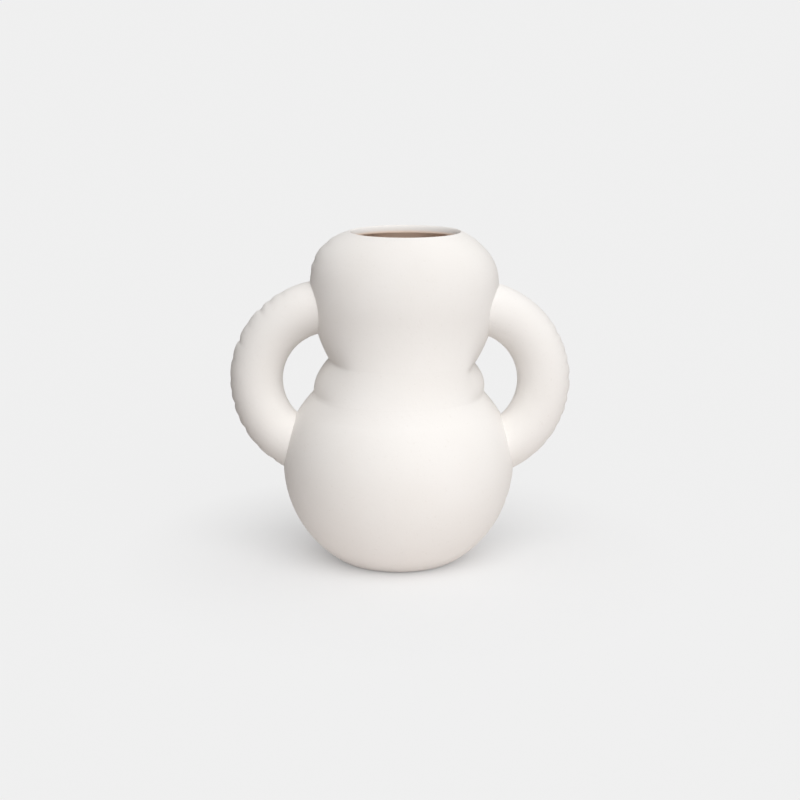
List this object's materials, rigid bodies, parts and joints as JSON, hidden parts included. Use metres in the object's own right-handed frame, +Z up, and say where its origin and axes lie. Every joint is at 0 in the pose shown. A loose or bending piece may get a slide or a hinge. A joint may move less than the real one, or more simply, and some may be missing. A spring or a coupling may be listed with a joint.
{
  "type": "pillow vase",
  "caption": "Matte white ceramic vase with a soft, inflated-looking body of stacked bulbs, an oval mouth and fat looping ring handles at its sides.",
  "frame": {"origin": "on the floor under the middle of the two handles, at the bottom centre of the bounding box", "axes": "+X to the right handle, +Y to the back (the pictured front faces -Y), +Z up"},
  "size_m": [0.2536, 0.16, 0.25],
  "materials": {
    "bisque": "matte warm white, unglazed outside",
    "slip": "matte joining slip of the same clay"
  },
  "bodies": {
    "root": {"lower_bulb": "bisque", "neck_roll": "bisque", "upper_bulb": "bisque", "left_handle": "bisque", "right_handle": "bisque", "lower_neck_slip": "slip", "upper_neck_slip": "slip", "left_handle_upper_slip": "slip", "left_handle_lower_slip": "slip", "right_handle_upper_slip": "slip", "right_handle_lower_slip": "slip"}
  },
  "joints": []
}
